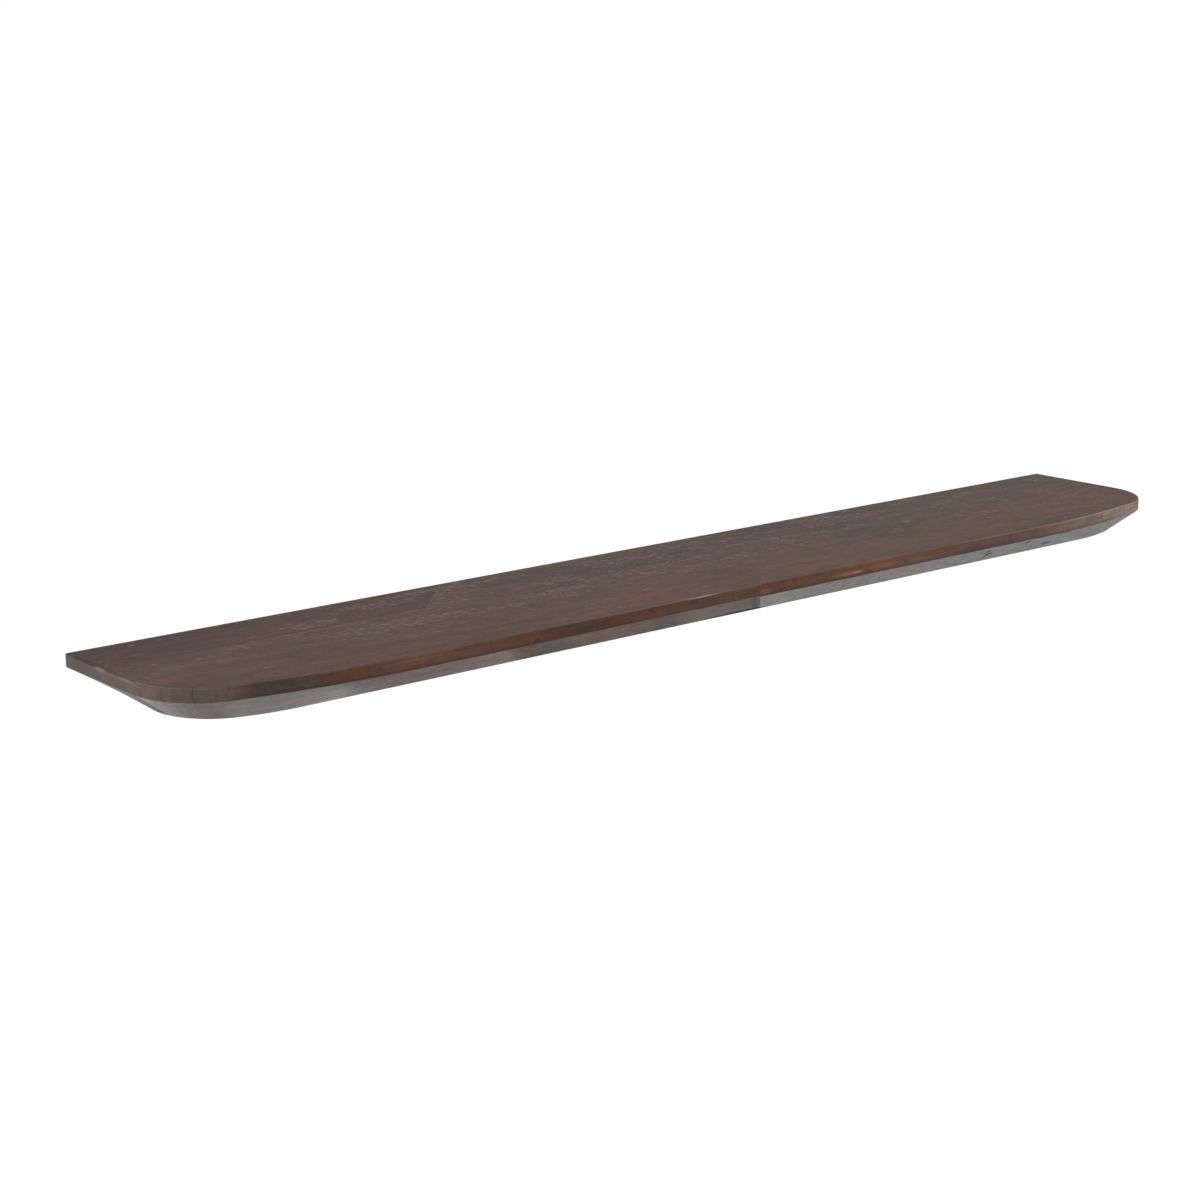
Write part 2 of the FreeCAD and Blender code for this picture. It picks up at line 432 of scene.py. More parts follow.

# Dashes in the pores: how many cells to the metre along and across, and a dash's size in its cell.
fleck_cells = (62, 480, 0.44)
speckle_cells = (98, 820, 0.42)
dark_fleck_cells = (60, 620, 0.30)
dark_fleck_density = 0.30
dash_spread, dash_least, dash_core = 0.9, 0.5, 0.4
dash_cut = (0.98, 1.02)
dash_strengths = (0.6, 0.4)
cluster_density = 0.62
cluster_height = 0.01
fleck_shadow_offset = (0.003, 0.0014, 0)
mark_fade = (1.0, 0.35)

# How far a face must turn to count as each part of the surface.
top_facing = (0.72, 0.97)
bevel_facing = (-0.25, -0.55)
underside_facing = (-0.985, -0.998)
end_facing = (0.76, 0.99)
away_facing = (0.25, 0.85)
arris_facing = (0.25, 0.60)
flat_facing = (0.985, 0.88)

# The edge is darker toward its lower line, but not at the ends.
line_height = 0.0050
line_along = (0.46, 0.52, 0.80, 0.58)
line_ends = (0.74, 0.62)

# How strongly each layer shows in the colour, the gloss and the relief.
paler_end_amount = 0.85
figure_parts = (0.30, 0.46, 0.24)
figure_lost = 0.65
pore_amount = 0.7
dark_fleck_amount = 0.6
fleck_shadow_amount = 0.50
grit_amount = 1.7
speckle_amount = 0.40
fleck_amount = 0.60
worn_levels = (0.3, 0.6, 0.5)
figure_shades = [(0.34, (0.72, 0.70, 0.69)), (0.46, (0.93, 0.92, 0.92)), (0.53, (1.03, 1.03, 1.03)),
                 (0.66, (1.27, 1.25, 1.23))]
cloud_shades = [(0.32, (0.84, 0.84, 0.86)), (0.5, (1, 1, 1)), (0.68, (1.18, 1.12, 1.07))]
blush_shades = [(0.36, (0.88, 0.92, 0.95)), (0.5, (1, 1, 1)), (0.64, (1.16, 1.08, 1.04))]
grit_shades = [(0.36, (0.70, 0.69, 0.68)), (0.50, (1, 1, 1)), (0.64, (1.40, 1.40, 1.40))]
side_rough, top_rough, underside_rough, dull_rough = 0.50, 0.68, 0.55, 0.95
blotch_levels = (0.32, 0.68, -0.065, 0.065)
fleck_rough, fibre_rough, pore_rough = 0.16, 0.16, 0.12
fibre_relief, pore_relief = 0.5, 0.8
timber_relief = (0.22, 0.0004)
lacquer_shine = 0.2


def even(level):
    return (level, level, level)


def vectors(tree, operation, *values, output=0):
    return put(tree, "ShaderNodeVectorMath", enumerate(values), operation=operation).outputs[output]


def parts(tree, vector):
    return put(tree, "ShaderNodeSeparateXYZ", [(0, vector)]).outputs


def noises(tree, place, features, detail=2.0, roughness=0.5):
    """Noise as a level and as a colour, with so many features to the metre along each axis."""
    drawn = vectors(tree, "MULTIPLY", place, features)
    return put(tree, "ShaderNodeTexNoise", [("Vector", drawn), ("Scale", 1.0), ("Detail", detail),
                                            ("Roughness", roughness)]).outputs


def grain(tree, place, along, across, *kind):
    return noises(tree, place, (along, across, across), *kind)[0]


def graded(tree, value, low, high, start=0.0, end=1.0):
    return put(tree, "ShaderNodeMapRange", [(0, value), (1, low), (2, high), (3, start), (4, end)],
               interpolation_type="SMOOTHSTEP").outputs[0]


def mixed(tree, amount, under, over):
    return put(tree, "ShaderNodeMix", [(0, amount), (2, under), (3, over)]).outputs[0]


def tinted(tree, amount, under, over, way="MIX"):
    """One colour over another. Colours given as plain values are opaque."""
    under, over = [(*colour, 1) if isinstance(colour, tuple) else colour for colour in (under, over)]
    return put(tree, "ShaderNodeMix", [(0, amount), (6, under), (7, over)], data_type="RGBA",
               blend_type=way).outputs[2]


def banded(tree, value, stops):
    """A colour that changes along a value, from (place, colour) pairs."""
    node = put(tree, "ShaderNodeValToRGB", [(0, value)])
    ramp = node.color_ramp
    ramp.interpolation = "EASE"
    while len(ramp.elements) < len(stops):
        ramp.elements.new(0.5)
    for element, (place, colour) in zip(ramp.elements, stops):
        element.position = place
        element.color = (*colour, 1)
    return node.outputs[0]


def levelled(tree, value, stops):
    """A number that changes along a value, from (place, level) pairs."""
    return banded(tree, value, [(place, even(level)) for place, level in stops])


def along_plank(tree, x):
    """Where a place lies along the plank, from 0 at its left end to 1 at its right."""
    return put(tree, "ShaderNodeMapRange", [(0, x), (1, plank_low.x), (2, plank_high.x)]).outputs[0]


def near(tree, here, place, reach):
    """1 at one place of the plank, falling to 0 at its reach along each axis."""
    away = vectors(tree, "SUBTRACT", here, place)
    share = vectors(tree, "DIVIDE", away, reach)
    return graded(tree, vectors(tree, "LENGTH", share, output="Value"), *mark_fade)


def dashes(tree, place, density, along, across, size):
    """Short dashes along the grain, one to a cell, in the share of the cells that density gives."""
    drawn = vectors(tree, "MULTIPLY", place, (along, across, across))
    cell = put(tree, "ShaderNodeTexVoronoi", [("Vector", drawn), ("Scale", 1.0)], voronoi_dimensions="2D")
    chance = put(tree, "ShaderNodeSeparateColor", [(0, cell.outputs["Color"])]).outputs
    reach = maths(tree, "MULTIPLY_ADD", chance[2], dash_spread * size, dash_least * size)
    inside = graded(tree, cell.outputs["Distance"], reach, times(tree, reach, dash_core))
    kept = graded(tree, plus(tree, chance[0], density), *dash_cut)
    strength = maths(tree, "MULTIPLY_ADD", chance[1], *dash_strengths)
    return times(tree, times(tree, inside, kept), strength)


def new_paint(name):
    """A material, its nodes, and where each point of the piece lies."""
    paint = bpy.data.materials.new(name)
    paint.use_nodes = True
    tree = paint.node_tree
    return paint, tree, put(tree, "ShaderNodeTexCoord").outputs["Object"]


def coat(paint, colour, rough, height=None, strength=0.0, depth=0.0, metal=0.0, shine=0.5):
    """Joins a colour, a roughness and any fine relief to a material's surface."""
    tree = paint.node_tree
    surface = tree.nodes["Principled BSDF"].inputs
    surface["Metallic"].default_value = metal
    surface["Specular IOR Level"].default_value = shine
    tree.links.new(colour, surface["Base Color"])
    tree.links.new(rough, surface["Roughness"])
    if height is not None:
        relief = put(tree, "ShaderNodeBump", [("Strength", strength), ("Distance", depth), ("Height", height)])
        tree.links.new(relief.outputs[0], surface["Normal"])
    return paint


def timber_fields(tree, here, shift, heart):
    """What varies through one stave's timber, and where each part of its surface lies and faces."""
    wood = SimpleNamespace(here=here)
    wood.log = put(tree, "ShaderNodeMapping", [
        (0, here), (1, tuple(share * shift for share in log_drift)),
        (2, (0, math.radians(log_tilt), math.radians(log_turn * math.sin(shift))))]).outputs[0]
    sway = vectors(tree, "SUBTRACT", noises(tree, wood.log, sway_features)[1], even(0.5))
    lean = vectors(tree, "MULTIPLY", sway, sway_reach)
    wood.fibres = vectors(tree, "ADD", wood.log, lean)
    across = vectors(tree, "MULTIPLY", here, (0, 1, 1))
    from_heart = vectors(tree, "ADD", vectors(tree, "ADD", across, (0, -heart[0], -heart[1])), lean)
    radius = vectors(tree, "LENGTH", from_heart, output="Value")
    wood.rings = put(tree, "ShaderNodeTexNoise", [
        ("W", times(tree, radius, rings_to_metre)), ("Scale", 1.0), ("Detail", 3.0), ("Roughness", 0.6)],
        noise_dimensions="1D").outputs[0]
    wood.fibre = grain(tree, wood.fibres, *fibre_grain)
    wood.streak = grain(tree, wood.fibres, *streak_grain)
    wood.cloud = grain(tree, wood.log, *cloud_grain)
    wood.pores = graded(tree, grain(tree, wood.fibres, *pore_grain), *pore_levels)
    wood.dark_fleck = dashes(tree, wood.fibres, dark_fleck_density, *dark_fleck_cells)

    facing = parts(tree, put(tree, "ShaderNodeNewGeometry").outputs["Normal"])
    wood.rise = facing["Z"]
    wood.sideways = maths(tree, "ABSOLUTE", facing["X"])
    wood.upward = graded(tree, wood.rise, *top_facing)
    wood.downward = graded(tree, wood.rise, *bevel_facing)
    wood.underneath = graded(tree, wood.rise, *underside_facing)
    spot = parts(tree, here)
    wood.height = spot["Z"]
    wood.from_middle = maths(tree, "ABSOLUTE", spot["X"])
    wood.run = along_plank(tree, spot["X"])
    slanting = plus(tree, maths(tree, "SUBTRACT", spot["X"], spot["Y"]), plank_low.y)
    wood.slant_run = along_plank(tree, slanting)
    return wood


def stain(tree, wood, top, edge, bevel):
    """The stain alone: one colour on the top, and others along the edge and the bevel."""
    side = banded(tree, wood.run, edge) if edge else top
    # The faces turned to the ends are made paler and greyer.
    endways = graded(tree, wood.sideways, *end_facing)
    side = tinted(tree, times(tree, endways, paler_end_amount), side, paler_end_tone)
    line = times(tree, graded(tree, wood.height, bevel_z, bevel_z + line_height, 1.0, 0.0),
                 graded(tree, wood.run, *line_along))
    line = times(tree, line, graded(tree, wood.from_middle, *line_ends))
    side = tinted(tree, line, side, dark_brown)
    colour = tinted(tree, wood.upward, side, top)
    colour = tinted(tree, wood.downward, colour, banded(tree, wood.slant_run, bevel))
    return tinted(tree, wood.underneath, colour, grey_brown)


def figured(tree, wood, colour):
    """Rings, fibres, streaks, clouds and open pores in the stain, fainter on the ends."""
    rings, fibres, streaks = figure_parts
    figure = plus(tree, times(tree, wood.rings, rings), times(tree, wood.fibre, fibres))
    figure = plus(tree, figure, times(tree, wood.streak, streaks))
    turned_away = graded(tree, wood.sideways, *away_facing)
    shown = maths(tree, "MULTIPLY_ADD", turned_away, -figure_lost, 1.0)
    colour = tinted(tree, shown, colour, banded(tree, figure, figure_shades), "MULTIPLY")
    colour = tinted(tree, 1.0, colour, banded(tree, wood.cloud, cloud_shades), "MULTIPLY")
    blush = banded(tree, grain(tree, wood.log, *blush_grain), blush_shades)
    colour = tinted(tree, 1.0, colour, blush, "MULTIPLY")
    colour = tinted(tree, times(tree, wood.pores, pore_amount), colour, pore_dark, "MULTIPLY")
    return tinted(tree, times(tree, wood.dark_fleck, dark_fleck_amount), colour, pore_dark, "MULTIPLY")


def flecked(tree, wood, colour, flecks, clusters):
    """Pale dashes in the pores painted as glints of the lacquer, with a painted shadow behind each, in patches
    and clusters on the top alone.
    """
    patch = graded(tree, grain(tree, wood.log, *patch_grain), *patch_levels)
    density = times(tree, patch, flecks)
    for (x, y), reach in clusters:
        inside = near(tree, wood.here, (x, y, plank_high.z), (*reach, cluster_height))
        density = maths(tree, "MAXIMUM", density, times(tree, inside, cluster_density))
    # Painted shadow: a dark dash set just behind each pale glint.
    behind = vectors(tree, "ADD", wood.fibres, fleck_shadow_offset)
    fleck_shadow, speckle, fleck = [times(tree, dashes(tree, place, density, *cells), wood.upward) for place, cells in (
        (behind, fleck_cells), (behind, speckle_cells), (wood.fibres, fleck_cells))]
    colour = tinted(tree, times(tree, fleck_shadow, fleck_shadow_amount), colour, pore_dark, "MULTIPLY")
    grit = banded(tree, grain(tree, wood.fibres, *grit_grain), grit_shades)
    gritty = times(tree, wood.upward, times(tree, density, grit_amount))
    colour = tinted(tree, maths(tree, "MINIMUM", gritty, 1.0), colour, grit, "MULTIPLY")
    # Painted glints: pale dashes in the pores.
    colour = tinted(tree, times(tree, speckle, speckle_amount), colour, pore_glint_silver)
    return tinted(tree, times(tree, fleck, fleck_amount), colour, pore_glint_silver)


def painted_arris_highlight(tree, wood, colour, worn):
    """A painted highlight: a pale tone laid along the rounding of the top arris."""
    on_arris = times(tree, graded(tree, wood.rise, *arris_facing), graded(tree, wood.rise, *flat_facing))
    amount = times(tree, on_arris, levelled(tree, wood.run, worn))
    return tinted(tree, times(tree, amount, graded(tree, wood.cloud, *worn_levels)), colour, worn_arris)


def lacquered(tree, wood, gloss, dulled):
    """How rough the lacquer is: abraded most on the top, blotchy on the bevel, gone where dulled."""
    bevel_rough = levelled(tree, wood.slant_run, gloss)
    blotch = grain(tree, wood.log, *blotch_grain)
    bevel_rough = plus(tree, bevel_rough, graded(tree, blotch, *blotch_levels))
    bevel_rough = plus(tree, bevel_rough, times(tree, wood.dark_fleck, fleck_rough))
    rough = mixed(tree, wood.upward, side_rough, top_rough)
    rough = mixed(tree, wood.downward, rough, bevel_rough)
    rough = mixed(tree, wood.underneath, rough, underside_rough)
    grainy = times(tree, maths(tree, "SUBTRACT", wood.fibre, 0.5), fibre_rough)
    rough = plus(tree, plus(tree, rough, grainy), times(tree, wood.pores, pore_rough))
    return mixed(tree, dulled, rough, dull_rough)


def stained_timber(name, shift, heart, top, flecks, clusters=(), edge=None, bevel=None, gloss=None,
                   worn=None, marks=()):
    """One stave's finish. Its edge, bevel, gloss and painted arris highlight may change along it. A mark is a
    place, reach, colour and amount, and how far it dulls the lacquer: some marks are stains, others painted
    glints."""
    paint, tree, here = new_paint(name)
    wood = timber_fields(tree, here, shift, heart)
    colour = stain(tree, wood, top, edge, bevel or end_bevels)
    colour = figured(tree, wood, colour)
    colour = flecked(tree, wood, colour, flecks, clusters)
    if worn:
        colour = painted_arris_highlight(tree, wood, colour, worn)
    dulled = 0.0
    for place, reach, mark, amount, dulling in marks:
        share = times(tree, near(tree, here, place, reach), amount)
        colour = tinted(tree, share, colour, mark)
        dulled = maths(tree, "MAXIMUM", dulled, times(tree, share, dulling))
    raised = maths(tree, "SUBTRACT", times(tree, wood.fibre, fibre_relief), times(tree, wood.pores, pore_relief))
    rough = lacquered(tree, wood, gloss or end_gloss, dulled)
    return coat(paint, colour, rough, raised, *timber_relief, shine=lacquer_shine)


def finish_stave(piece, node, *stain_sizes, **features):
    """Shades a stave, paints it under its own name, sets it on the board's body and hides the part it stands for.
    """
    smooth_faces(piece)
    piece.data.materials.clear()
    piece.data.materials.append(stained_timber(piece.name, *stain_sizes, **features))
    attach(piece, "shelf_board")
    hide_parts(node)


# What the staves behind the front row share: the bevels of their ends, painted glints on the left end's
# arris, and a darker, duller stretch on the right end's arris.
end_bevels = [(0.0, umber), (0.9, slate)]
end_gloss = [(0.0, 0.46), (0.9, 0.33)]
# Painted glints: pale spots and a pale band on the left end's top arris.
left_end_glints = [
    ((plank_low.x + 0.0008, -0.074, plank_high.z - 0.0026), (0.0024, 0.018, 0.0024), worn_arris, 0.42, 0.0),
    ((plank_low.x + 0.0008, -0.130, plank_high.z - 0.0026), (0.0024, 0.020, 0.0024), worn_arris, 0.32, 0.0),
    ((plank_low.x + 0.0002, -0.110, plank_high.z - 0.0036), (0.0040, 0.095, 0.0016), worn_arris, 0.14, 0.0)]
right_end_marks = [
    ((plank_high.x - 0.003, -0.130, plank_high.z - 0.0004), (0.010, 0.100, 0.0030), dark_brown, 0.6, 0.5)]

left_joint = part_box("front_stave_left")[1]
front_left = stave_blank("front_stave_left", left_joint.x - (left_joint.y - plank_low.y))
finish_stave(
    front_left, "front_stave_left", 3.1, (-0.16, -0.13), (0.081, 0.0415, 0.0292), 0.05,
    clusters=[((-0.13, -0.18), (0.012, 0.006))],
    edge=[(0.0, dusty_brown), (0.028, dusty_brown), (0.058, umber), (0.095, umber), (0.122, red_brown),
          (0.155, warm_brown), (0.196, russet), (0.240, warm_brown), (0.270, red_brown), (0.308, chestnut),
          (0.383, red_brown), (0.458, walnut), (0.496, red_brown)],
    # Painted sheen: the bevel is light grey near the left corner.
    bevel=[(0.0, grey_brown), (0.030, bevel_sheen_grey), (0.10, bevel_sheen_grey), (0.14, grey_brown), (0.18, walnut),
           (0.245, warm_brown), (0.262, chestnut), (0.290, umber), (0.315, walnut), (0.350, warm_brown),
           (0.375, walnut), (0.40, umber), (0.43, walnut), (0.478, umber), (0.4825, olive_brown),
           (0.4886, olive_brown), (0.4898, tan_brown)],
    gloss=[(0.0, 0.28), (0.030, 0.18), (0.10, 0.21), (0.125, 0.40), (0.15, 0.47), (0.20, 0.47), (0.25, 0.43),
           (0.268, 0.61), (0.295, 0.60), (0.315, 0.55), (0.34, 0.57), (0.39, 0.58), (0.43, 0.49), (0.46, 0.48),
           (0.480, 0.52), (0.4880, 0.68), (0.4894, 0.52)],
    # How strongly the arris highlight is painted along the plank.
    worn=[(0.0, 0.30), (0.02, 0.12), (0.07, 0.05), (0.28, 0.05), (0.315, 0.28), (0.40, 0.34), (0.44, 0.28),
          (0.49, 0.10)],
    # Painted glint: a thin pale line along the front's top arris.
    marks=[((-0.105, plank_low.y + 0.0004, plank_high.z - 0.0003), (0.034, 0.0012, 0.0012), worn_arris, 0.8, 0.0),
           (on_bevel(-0.005, 1.0), (0.080, 0.0140, 0.0085), dark_brown, 1.0, 1.0),
           (on_bevel(-0.620, 0.85), (0.070, 0.0160, 0.0120), walnut, 0.4, 0.30), *left_end_glints])
edge_streaks = [
    ((x, plank_low.y, z), (reach, 0.01, drop), colour, amount, 0.0) for x, z, reach, drop, colour, amount in (
        (-0.006, 0.0120, 0.020, 0.0048, orange_streak, 0.45), (0.142, 0.0126, 0.036, 0.0032, orange_streak, 0.80),
        (0.156, 0.0124, 0.011, 0.0015, amber_streak, 0.85), (0.204, 0.0142, 0.034, 0.0038, orange_streak, 0.50),
        (0.270, 0.0115, 0.045, 0.0040, tan_brown, 0.30), (0.390, 0.0105, 0.070, 0.0055, dark_brown, 0.45))]
front_right = stave_blank("front_stave_right")
add_checks(front_right)
finish_stave(
    front_right, "front_stave_right", 7.4, (-0.30, 0.11), (0.081, 0.0425, 0.0302), 0.05,
    # The edge turns pale toward the right corner: painted light on the corner's curve.
    edge=[(0.496, red_brown), (0.571, warm_brown), (0.608, warm_brown), (0.646, russet), (0.683, russet),
          (0.74, hazel), (0.780, hazel), (0.828, tan_brown), (0.875, corner_lit_sand), (0.950, corner_lit_pale_oak), (0.980, hazel)],
    bevel=[(0.5, slate), (0.6, grey_brown), (0.75, slate), (0.9, slate)],
    gloss=[(0.5, 0.31), (0.56, 0.37), (0.68, 0.36), (0.86, 0.35), (0.96, 0.38)],
    # How strongly the arris highlight is painted along the plank, brightest at the right corner.
    worn=[(0.49, 0.05), (0.69, 0.12), (0.77, 0.45), (0.83, 0.60), (0.875, 1.0), (0.93, 0.85), (0.96, 0.35),
          (0.99, 0.1)],
    marks=[*edge_streaks, ((0.500, -0.249, 0.0150), (0.030, 0.012, 0.0050), olive_brown, 0.45, 0.0),
           ((0.560, -0.248, 0.0120), (0.026, 0.012, 0.0040), orange_streak, 0.35, 0.0),
           ((0.625, -0.243, 0.0150), (0.030, 0.015, 0.0050), olive_brown, 0.40, 0.0),
           (on_bevel(0.4267, 0.50), (0.0105, 0.0042, 0.0030), split_dark, 1.0, 1.0),
           (on_bevel(0.4268, 0.67), (0.0040, 0.0050, 0.0036), split_dark, 0.8, 1.0),
           (on_bevel(0.4160, 0.27), (0.0040, 0.0050, 0.0036), split_dark, 0.8, 1.0),
           (on_bevel(0.490, 0.16), (0.0070, 0.0050, 0.0036), dark_brown, 0.8, 0.9),
           (on_bevel(0.550, 0.60), (0.0160, 0.0080, 0.0060), dark_brown, 0.5, 0.7), *right_end_marks])


# Centre staves: three narrower lengths glued behind the front row. Their pores carry painted glints.
# The rods' bores, drilled from behind, end in them.
rod_radius = 0.006
bore_clearance = 0.0003
bore_run_out = 0.005
weld_leg = 0.0025
pocket_clearance = 0.001
plate_corner = 0.005
cutter_overrun = 0.003
bore_steps = 40
corner_steps = 8


def turned(profile, x, z, steps, wobble=None):
    """A solid turned about an axis that runs along Y, from (radius, y) pairs that start and end on it."""
    bm = bmesh.new()
    rings = []
    for radius, y in profile:
        if radius == 0:
            rings.append([bm.verts.new((x, y, z))])
            continue
        turns = [2 * math.pi * i / steps for i in range(steps)]
        wide = [radius + (wobble(y, t) if wobble else 0) for t in turns]
        rings.append([bm.verts.new((x + r * math.cos(t), y, z + r * math.sin(t))) for r, t in zip(wide, turns)])
    for one, two in zip(rings, rings[1:]):
        for i in range(steps):
            j = (i + 1) % steps
            corners = dict.fromkeys((one[i % len(one)], one[j % len(one)], two[j % len(two)], two[i % len(two)]))
            bm.faces.new(corners)
    bmesh.ops.recalc_face_normals(bm, faces=bm.faces[:])
    return bm


def rounded_oblong(width, height, radius):
    """Corner points of an oblong with round corners, as (x, z) pairs."""
    points = []
    for x, z, first in ((1, 1, 0), (-1, 1, 1), (-1, -1, 2), (1, -1, 3)):
        for i in range(corner_steps + 1):
            turn = (first + i / corner_steps) * math.pi / 2
            points.append((x * (width / 2 - radius) + radius * math.cos(turn),
                           z * (height / 2 - radius) + radius * math.sin(turn)))
    return list(dict.fromkeys(points))


def loft(levels):
    """Joins rings of points that lie on one another and caps both ends."""
    bm = bmesh.new()
    rings = [[bm.verts.new(point) for point in level] for level in levels]
    for one, two in zip(rings, rings[1:]):
        for i in range(len(one)):
            j = (i + 1) % len(one)
            bm.faces.new((one[i], one[j], two[j], two[i]))
    bm.faces.new(rings[0])
    bm.faces.new(rings[-1])
    bmesh.ops.recalc_face_normals(bm, faces=bm.faces[:])
    return bm


def oblong_solid(x, levels):
    """A solid along Y with round corners, from the (y, width, height, radius) of each of its levels."""
    return loft([[(x + point_x, y, z) for point_x, z in rounded_oblong(*size)] for y, *size in levels])


def bore_cutter(number):
    low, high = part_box(f"support_rod_{number}")
    radius = rod_radius + bore_clearance
    mouth = radius + weld_leg
    mouth_y = high.y - pocket_clearance - weld_leg
    end_y = low.y - bore_run_out
    profile = [(0, cutter_overrun), (mouth, cutter_overrun), (mouth, mouth_y), (radius, mouth_y),
               (radius, end_y), (0, end_y)]
    return turned(profile, (low.x + high.x) / 2, 0, bore_steps)


def pocket_cutter(number):
    low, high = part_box(f"support_plate_{number}")
    size = (high.x - low.x + 2 * pocket_clearance, high.z - low.z + 2 * pocket_clearance,
            plate_corner + pocket_clearance)
    return oblong_solid((low.x + high.x) / 2, [(y, *size) for y in (cutter_overrun, low.y - pocket_clearance)])


for stave, number, *stain_sizes, marks in (
        ("centre_stave_left", 1, 12.3, (0.05, -0.11), (0.080, 0.042, 0.0305), 0.24,
         [((-0.45, -0.1275), (0.14, 0.026))], left_end_glints),
        ("centre_stave_middle", 2, 17.9, (-0.22, 0.14), (0.0755, 0.041, 0.030), 0.44,
         [((-0.23, -0.12), (0.065, 0.014)), ((-0.025, -0.135), (0.03, 0.010)),
          ((0.075, -0.122), (0.035, 0.016)), ((0.18, -0.095), (0.025, 0.018))], []),
        ("centre_stave_right", 3, 23.2, (0.02, 0.17), (0.074, 0.042, 0.0305), 0.22,
         [((0.395, -0.11), (0.022, 0.014))], right_end_marks)):
    piece = stave_blank(stave)
    cut_away(piece, bore_cutter(number))
    finish_stave(piece, stave, *stain_sizes, marks=marks)


# Rear staves: the widest row, against the wall, rather darker than the rest. Behind each support a
# pocket is routed to take the steel plate, and the bore for its rod is drilled on from there.
for stave, number, *stain_sizes, marks in (
        ("rear_stave_left", 1, 31.5, (0.10, -0.15), (0.0625, 0.0315, 0.023), 0.06,
         [((-0.53, -0.065), (0.050, 0.024)), ((-0.42, -0.035), (0.08, 0.022)),
          ((-0.36, -0.02), (0.06, 0.012))], left_end_glints),
        ("rear_stave_middle", 2, 38.1, (-0.04, -0.12), (0.0705, 0.0385, 0.029), 0.52,
         [((-0.29, -0.02), (0.05, 0.013)), ((-0.17, -0.075), (0.028, 0.018)),
          ((-0.035, -0.047), (0.075, 0.022)), ((0.18, -0.075), (0.025, 0.018)),
          ((0.29, -0.02), (0.06, 0.013))], []),
        ("rear_stave_right", 3, 44.6, (0.12, 0.13), (0.0765, 0.0455, 0.0335), 0.34, [], right_end_marks)):
    piece = stave_blank(stave)
    cut_away(piece, pocket_cutter(number))
    cut_away(piece, bore_cutter(number))
    finish_stave(piece, stave, *stain_sizes, marks=marks)


# Support plates: three blanks of 4 mm steel plate with round corners, let into the back of the board
# and flat on the wall. Each has two upright slots, punched and countersunk for the screw heads, so
# that it can be set level. The edges are deburred and the whole is zinc plated.
support_count = 3
support_gap = 0.56
screw_gap = 0.05
plate_deburr = 0.0004
slot_travel = 0.004
slot_seat = 0.0051
slot_neck = 0.0028
plated_zinc = (0.56, 0.58, 0.61)
dull_zinc = (0.42, 0.44, 0.46)
straw_zinc = (0.60, 0.58, 0.50)
rolling_grain = (60, 2400, 2)
rolling_relief = (0.15, 0.0001)
rolled_rough = 0.10
spangle_grain = (90, 120, 3, 0.6)
spangle_levels = (0.42, 0.62)
spangle_rough = (0.35, 0.7, 0.26, 0.44)
straw_grain = (35, 50, 1)
straw_levels = (0.52, 0.68, 0.0, 0.6)


def along_x(tree, count, gap):
    """So many points in a row along X, spread evenly about the middle."""
    reach = times(tree, maths(tree, "SUBTRACT", count, 1.0), gap)
    start = put(tree, "ShaderNodeCombineXYZ", [("X", times(tree, reach, -0.5))])
    step = put(tree, "ShaderNodeCombineXYZ", [("X", gap)])
    return put(tree, "GeometryNodeMeshLine", [("Count", count), ("Start Location", start.outputs[0]),
                                              ("Offset", step.outputs[0])], mode="OFFSET").outputs[0]


def support_row():
    """Geometry nodes that repeat one fitting at every support, and so many times across each."""
    tree = bpy.data.node_groups.new("support_row", "GeometryNodeTree")
    for name, kind in (("Fitting", "Geometry"), ("Supports", "Int"), ("Support gap", "Float"),
                       ("Across each", "Int"), ("Gap across", "Float"), ("Finish", "Material")):
        tree.interface.new_socket(name, in_out="INPUT", socket_type="NodeSocket" + kind)
    tree.interface.new_socket("Row", in_out="OUTPUT", socket_type="NodeSocketGeometry")
    given = put(tree, "NodeGroupInput").outputs
    across = put(tree, "GeometryNodeInstanceOnPoints", [
        ("Points", along_x(tree, given["Across each"], given["Gap across"])), ("Instance", given["Fitting"])])
    row = put(tree, "GeometryNodeInstanceOnPoints", [
        ("Points", along_x(tree, given["Supports"], given["Support gap"])), ("Instance", across.outputs[0])])
    solid = put(tree, "GeometryNodeRealizeInstances", [("Geometry", row.outputs[0])])
    finished = put(tree, "GeometryNodeSetMaterial", [
        ("Geometry", solid.outputs[0]), ("Material", given["Finish"])])
    put(tree, "NodeGroupOutput", [("Row", finished.outputs[0])])
    return tree


def repeat_at_supports(fitting, across, paint, nodes):
    """Sets one fitting out along the wall, sets the row on the supports' body and hides the parts it stands for.
    """
    row = fitting.modifiers.new("row", "NODES")
    row.node_group = row_tree
    sizes = {"Supports": support_count, "Support gap": support_gap, "Across each": across,
             "Gap across": screw_gap, "Finish": paint}
    for item in row_tree.interface.items_tree:
        if item.name in sizes:
            row[item.identifier] = sizes[item.name]
    settle(fitting)
    smooth_faces(fitting)
    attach(fitting, "wall_supports")
    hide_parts(*nodes)


def plated_steel():
    """Bright zinc over rolled plate: faint rolling lines, cloudy patches and a straw tint in places."""
    paint, tree, here = new_paint("zinc_plate")
    rolled = grain(tree, here, *rolling_grain)
    cloud = grain(tree, here, *spangle_grain)
    colour = tinted(tree, graded(tree, cloud, *spangle_levels), plated_zinc, dull_zinc)
    colour = tinted(tree, graded(tree, grain(tree, here, *straw_grain), *straw_levels), colour, straw_zinc)
    rough = plus(tree, graded(tree, cloud, *spangle_rough), times(tree, rolled, rolled_rough))
    return coat(paint, colour, rough, rolled, *rolling_relief, metal=1.0)


